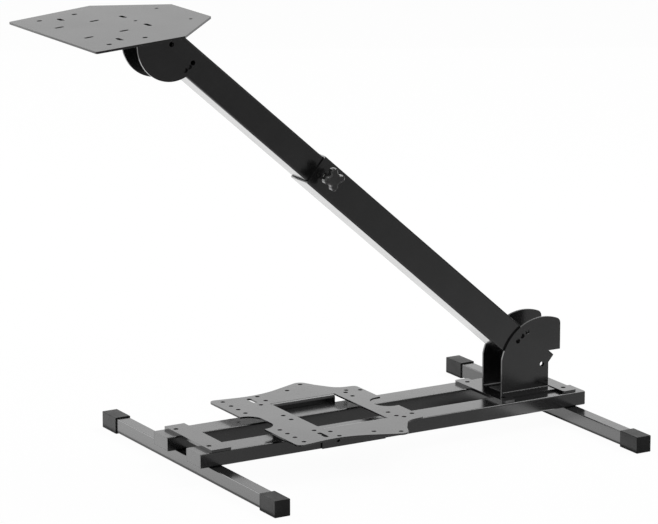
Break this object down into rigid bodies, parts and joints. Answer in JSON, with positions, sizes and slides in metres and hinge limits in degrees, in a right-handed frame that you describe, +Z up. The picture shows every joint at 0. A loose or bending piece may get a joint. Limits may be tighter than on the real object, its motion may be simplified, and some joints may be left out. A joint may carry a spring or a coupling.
{
  "type": "racing wheel stand",
  "caption": "Floor stand for a simulator steering wheel: low square-tube base with a drilled sliding pedal plate, and a leaning telescopic arm with a tilting wheel plate.",
  "frame": {"origin": "on the floor, below the middle of the stand's bounding box", "axes": "+Z up, +X from the driver's side towards the back of the stand, +Y to the driver's left"},
  "size_m": [0.8002, 0.493, 0.6325],
  "materials": {
    "powder_coat": "semi-gloss black powder coat",
    "cap_plastic": "satin black",
    "knob_plastic": "satin black",
    "screw_steel": "zinc plated"
  },
  "bodies": {
    "base": {"front_foot_tube": "powder_coat", "front_foot_cap_near": "cap_plastic", "front_foot_cap_far": "cap_plastic", "rear_foot_tube": "powder_coat", "rear_foot_cap_near": "cap_plastic", "rear_foot_cap_far": "cap_plastic", "rail_near": "powder_coat", "rail_near_front_end": "powder_coat", "rail_near_rear_end": "powder_coat", "rail_far": "powder_coat", "rail_far_front_end": "powder_coat", "rail_far_rear_end": "powder_coat", "front_cross_plate": "powder_coat", "bracket_front_strip": "powder_coat", "rear_cross_strip": "powder_coat", "pivot_bracket": "powder_coat", "pivot_bracket_far": "powder_coat"},
    "pedal_plate": {"pedal_plate": "powder_coat"},
    "lower_arm": {"lower_arm_tube": "powder_coat", "clamp_nut": "powder_coat"},
    "clamp_knob": {"clamp_stud": "screw_steel", "clamp_knob": "knob_plastic"},
    "upper_arm": {"upper_arm_tube": "powder_coat"},
    "wheel_plate": {"wheel_bracket": "powder_coat", "wheel_plate": "powder_coat"}
  },
  "joints": [
    {"name": "arm_tilt", "type": "hinge", "parent": "base", "child": "lower_arm", "pos_m": [0.35363, 0, 0.0784], "axis": [0, 1, 0], "range_deg": [0, 49]},
    {"name": "arm_slide", "type": "slide", "parent": "lower_arm", "child": "upper_arm", "axis": [-0.7532, 0, 0.6578], "range_m": [-0.225, 0.06]},
    {"name": "wheel_plate_tilt", "type": "hinge", "parent": "upper_arm", "child": "wheel_plate", "pos_m": [-0.23681, 0, 0.59403], "axis": [0, -1, 0], "range_deg": [0, 20]},
    {"name": "pedal_plate_slide", "type": "slide", "parent": "base", "child": "pedal_plate", "axis": [1, 0, 0], "range_m": [-0.06, 0.14]},
    {"name": "clamp_knob_turn", "type": "hinge", "parent": "lower_arm", "child": "clamp_knob", "pos_m": [-0.00565, -0.044, 0.39216], "axis": [0, -1, 0], "range_deg": [0, 360]}
  ]
}
